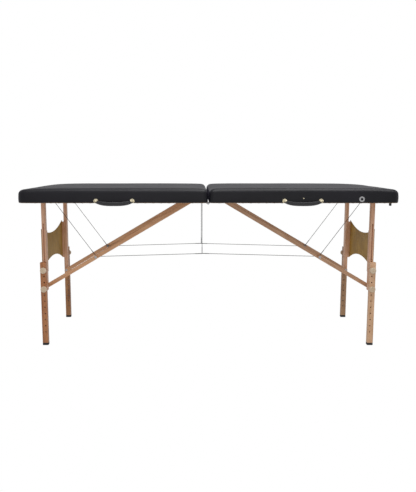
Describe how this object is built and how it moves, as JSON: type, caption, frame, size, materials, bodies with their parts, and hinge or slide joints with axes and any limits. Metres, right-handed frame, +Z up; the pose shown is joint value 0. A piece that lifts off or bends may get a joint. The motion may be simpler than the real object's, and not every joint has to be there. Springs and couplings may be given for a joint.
{
  "type": "portable massage table",
  "caption": "Folding padded treatment couch in two hinged halves, on wooden leg frames of adjustable height braced by links and wire cables.",
  "frame": {"origin": "on the floor, under the middle of the whole object's bounding box", "axes": "+X along the table towards the head end, +Y across it away from the handles, +Z up"},
  "size_m": [1.85, 0.7145, 0.7996],
  "materials": {
    "vinyl": "black vinyl upholstery, soft satin sheen",
    "foam": "foam",
    "plywood": "plain plywood",
    "rail_wood": "planed softwood",
    "leg_wood": "clear-lacquered beech",
    "panel_board": "olive stained board",
    "knob_wood": "turned pale wood, lacquered",
    "rubber": "black rubber",
    "steel": "zinc-plated steel",
    "brass": "pale brass",
    "cable": "black-coated steel wire rope",
    "strap": "black stitched strap"
  },
  "bodies": {
    "left_half": {"left_cover": "vinyl", "left_foam": "foam", "left_deck": "plywood", "left_rails": "rail_wood", "left_blocks": "rail_wood", "left_pivot_bolts": "steel", "left_hinge_leaves": "steel", "left_handle_mounts": "brass"},
    "right_half": {"right_cover": "vinyl", "right_foam": "foam", "right_deck": "plywood", "right_rails": "rail_wood", "right_blocks": "rail_wood", "right_pivot_bolts": "steel", "right_hinge_leaves": "steel", "right_handle_mounts": "brass", "right_sockets": "steel", "snap_stud": "brass", "bumpers": "rubber"},
    "hinge_pins": {"hinge_pins": "steel"},
    "left_leg_frame": {"left_posts": "leg_wood", "left_end_panel": "panel_board"},
    "left_lower_brace": {"left_lower_links": "leg_wood", "left_brace_bolts": "steel"},
    "left_upper_brace": {"left_upper_links": "leg_wood", "left_knee_bolts": "steel"},
    "left_stays": {"left_stay_cables": "cable"},
    "left_ties": {"left_tie_cables": "cable"},
    "left_handle": {"left_handle": "strap"},
    "near_left_leg": {"left_near_lower_leg": "leg_wood", "left_near_foot_cap": "rubber", "left_near_clamp_studs": "steel"},
    "near_left_upper_knob": {"left_near_upper_knob": "knob_wood"},
    "near_left_lower_knob": {"left_near_lower_knob": "knob_wood"},
    "far_left_leg": {"left_far_lower_leg": "leg_wood", "left_far_foot_cap": "rubber", "left_far_clamp_studs": "steel"},
    "far_left_upper_knob": {"left_far_upper_knob": "knob_wood"},
    "far_left_lower_knob": {"left_far_lower_knob": "knob_wood"},
    "right_leg_frame": {"right_posts": "leg_wood", "right_end_panel": "panel_board"},
    "right_lower_brace": {"right_lower_links": "leg_wood", "right_brace_bolts": "steel"},
    "right_upper_brace": {"right_upper_links": "leg_wood", "right_knee_bolts": "steel"},
    "right_stays": {"right_stay_cables": "cable"},
    "right_ties": {"right_tie_cables": "cable"},
    "right_handle": {"right_handle": "strap"},
    "near_right_leg": {"right_near_lower_leg": "leg_wood", "right_near_foot_cap": "rubber", "right_near_clamp_studs": "steel"},
    "near_right_upper_knob": {"right_near_upper_knob": "knob_wood"},
    "near_right_lower_knob": {"right_near_lower_knob": "knob_wood"},
    "far_right_leg": {"right_far_lower_leg": "leg_wood", "right_far_foot_cap": "rubber", "right_far_clamp_studs": "steel"},
    "far_right_upper_knob": {"right_far_upper_knob": "knob_wood"},
    "far_right_lower_knob": {"right_far_lower_knob": "knob_wood"},
    "drops": {"drop_cables": "cable"}
  },
  "joints": [
    {"name": "left_fold", "type": "hinge", "parent": "left_half", "child": "hinge_pins", "pos_m": [0, 0.00575, 0.7189], "axis": [0, 1, 0], "range_deg": [0, 90]},
    {"name": "right_fold", "type": "hinge", "parent": "hinge_pins", "child": "right_half", "pos_m": [0, 0.00575, 0.7189], "axis": [0, 1, 0], "range_deg": [0, 90]},
    {"name": "left_leg_fold", "type": "hinge", "parent": "left_half", "child": "left_leg_frame", "pos_m": [-0.821, 0.00575, 0.7485], "axis": [0, -1, 0], "range_deg": [0, 90]},
    {"name": "left_brace_fold", "type": "hinge", "parent": "left_half", "child": "left_upper_brace", "pos_m": [-0.045, 0.00575, 0.7515], "axis": [0, 1, 0], "range_deg": [0, 30.51]},
    {"name": "left_brace_foot_turn", "type": "hinge", "parent": "left_leg_frame", "child": "left_lower_brace", "pos_m": [-0.818, 0.00575, 0.296], "axis": [0, -1, 0], "range_deg": [0, 59.49]},
    {"name": "left_stay_fold", "type": "hinge", "parent": "left_half", "child": "left_stays", "pos_m": [-0.803, 0.00575, 0.7585], "axis": [0, -1, 0], "range_deg": [0, 53.77]},
    {"name": "left_tie_fold", "type": "hinge", "parent": "left_upper_brace", "child": "left_ties", "pos_m": [-0.57086, 0.00575, 0.44163], "axis": [0, -1, 0], "range_deg": [0, 27.38]},
    {"name": "left_handle_swing", "type": "hinge", "parent": "left_half", "child": "left_handle", "pos_m": [-0.455, -0.35275, 0.7364], "axis": [-1, 0, 0], "range_deg": [0, 100]},
    {"name": "near_left_height", "type": "slide", "parent": "left_leg_frame", "child": "near_left_leg", "axis": [0, 0, 1], "range_m": [0, 0.22225]},
    {"name": "near_left_upper_knob_turn", "type": "hinge", "parent": "near_left_leg", "child": "near_left_upper_knob", "pos_m": [-0.821, -0.29325, 0.387], "axis": [0, 1, 0], "continuous": true},
    {"name": "near_left_lower_knob_turn", "type": "hinge", "parent": "near_left_leg", "child": "near_left_lower_knob", "pos_m": [-0.821, -0.29325, 0.29175], "axis": [0, 1, 0], "continuous": true},
    {"name": "far_left_height", "type": "slide", "parent": "left_leg_frame", "child": "far_left_leg", "axis": [0, 0, 1], "range_m": [0, 0.22225]},
    {"name": "far_left_upper_knob_turn", "type": "hinge", "parent": "far_left_leg", "child": "far_left_upper_knob", "pos_m": [-0.821, 0.30475, 0.387], "axis": [0, 1, 0], "continuous": true},
    {"name": "far_left_lower_knob_turn", "type": "hinge", "parent": "far_left_leg", "child": "far_left_lower_knob", "pos_m": [-0.821, 0.30475, 0.29175], "axis": [0, 1, 0], "continuous": true},
    {"name": "right_leg_fold", "type": "hinge", "parent": "right_half", "child": "right_leg_frame", "pos_m": [0.821, 0.00575, 0.7485], "axis": [0, 1, 0], "range_deg": [0, 90]},
    {"name": "right_brace_fold", "type": "hinge", "parent": "right_half", "child": "right_upper_brace", "pos_m": [0.045, 0.00575, 0.7515], "axis": [0, -1, 0], "range_deg": [0, 30.51]},
    {"name": "right_brace_foot_turn", "type": "hinge", "parent": "right_leg_frame", "child": "right_lower_brace", "pos_m": [0.818, 0.00575, 0.296], "axis": [0, 1, 0], "range_deg": [0, 59.49]},
    {"name": "right_stay_fold", "type": "hinge", "parent": "right_half", "child": "right_stays", "pos_m": [0.803, 0.00575, 0.7585], "axis": [0, 1, 0], "range_deg": [0, 53.77]},
    {"name": "right_tie_fold", "type": "hinge", "parent": "right_upper_brace", "child": "right_ties", "pos_m": [0.57086, 0.00575, 0.44163], "axis": [0, 1, 0], "range_deg": [0, 27.54]},
    {"name": "right_handle_swing", "type": "hinge", "parent": "right_half", "child": "right_handle", "pos_m": [0.455, -0.35275, 0.7364], "axis": [-1, 0, 0], "range_deg": [0, 100]},
    {"name": "near_right_height", "type": "slide", "parent": "right_leg_frame", "child": "near_right_leg", "axis": [0, 0, 1], "range_m": [0, 0.22225]},
    {"name": "near_right_upper_knob_turn", "type": "hinge", "parent": "near_right_leg", "child": "near_right_upper_knob", "pos_m": [0.821, -0.29325, 0.387], "axis": [0, 1, 0], "continuous": true},
    {"name": "near_right_lower_knob_turn", "type": "hinge", "parent": "near_right_leg", "child": "near_right_lower_knob", "pos_m": [0.821, -0.29325, 0.29175], "axis": [0, 1, 0], "continuous": true},
    {"name": "far_right_height", "type": "slide", "parent": "right_leg_frame", "child": "far_right_leg", "axis": [0, 0, 1], "range_m": [0, 0.22225]},
    {"name": "far_right_upper_knob_turn", "type": "hinge", "parent": "far_right_leg", "child": "far_right_upper_knob", "pos_m": [0.821, 0.30475, 0.387], "axis": [0, 1, 0], "continuous": true},
    {"name": "far_right_lower_knob_turn", "type": "hinge", "parent": "far_right_leg", "child": "far_right_lower_knob", "pos_m": [0.821, 0.30475, 0.29175], "axis": [0, 1, 0], "continuous": true},
    {"name": "drop_fold", "type": "hinge", "parent": "left_half", "child": "drops", "pos_m": [-0.0285, 0.00575, 0.7404], "axis": [0, 1, 0], "range_deg": [0, 90]}
  ],
  "couplings": [
    {"joint": "left_leg_fold", "follows": "left_fold", "ratio": 1},
    {"joint": "left_brace_fold", "follows": "left_fold", "ratio": 0.33899},
    {"joint": "left_brace_foot_turn", "follows": "left_fold", "ratio": 0.66101},
    {"joint": "left_stay_fold", "follows": "left_fold", "ratio": 0.59747},
    {"joint": "left_tie_fold", "follows": "left_fold", "ratio": 0.30425},
    {"joint": "right_leg_fold", "follows": "right_fold", "ratio": 1},
    {"joint": "right_brace_fold", "follows": "right_fold", "ratio": 0.33899},
    {"joint": "right_brace_foot_turn", "follows": "right_fold", "ratio": 0.66101},
    {"joint": "right_stay_fold", "follows": "right_fold", "ratio": 0.59747},
    {"joint": "right_tie_fold", "follows": "right_fold", "ratio": 0.30597},
    {"joint": "drop_fold", "follows": "left_fold", "ratio": 1}
  ]
}
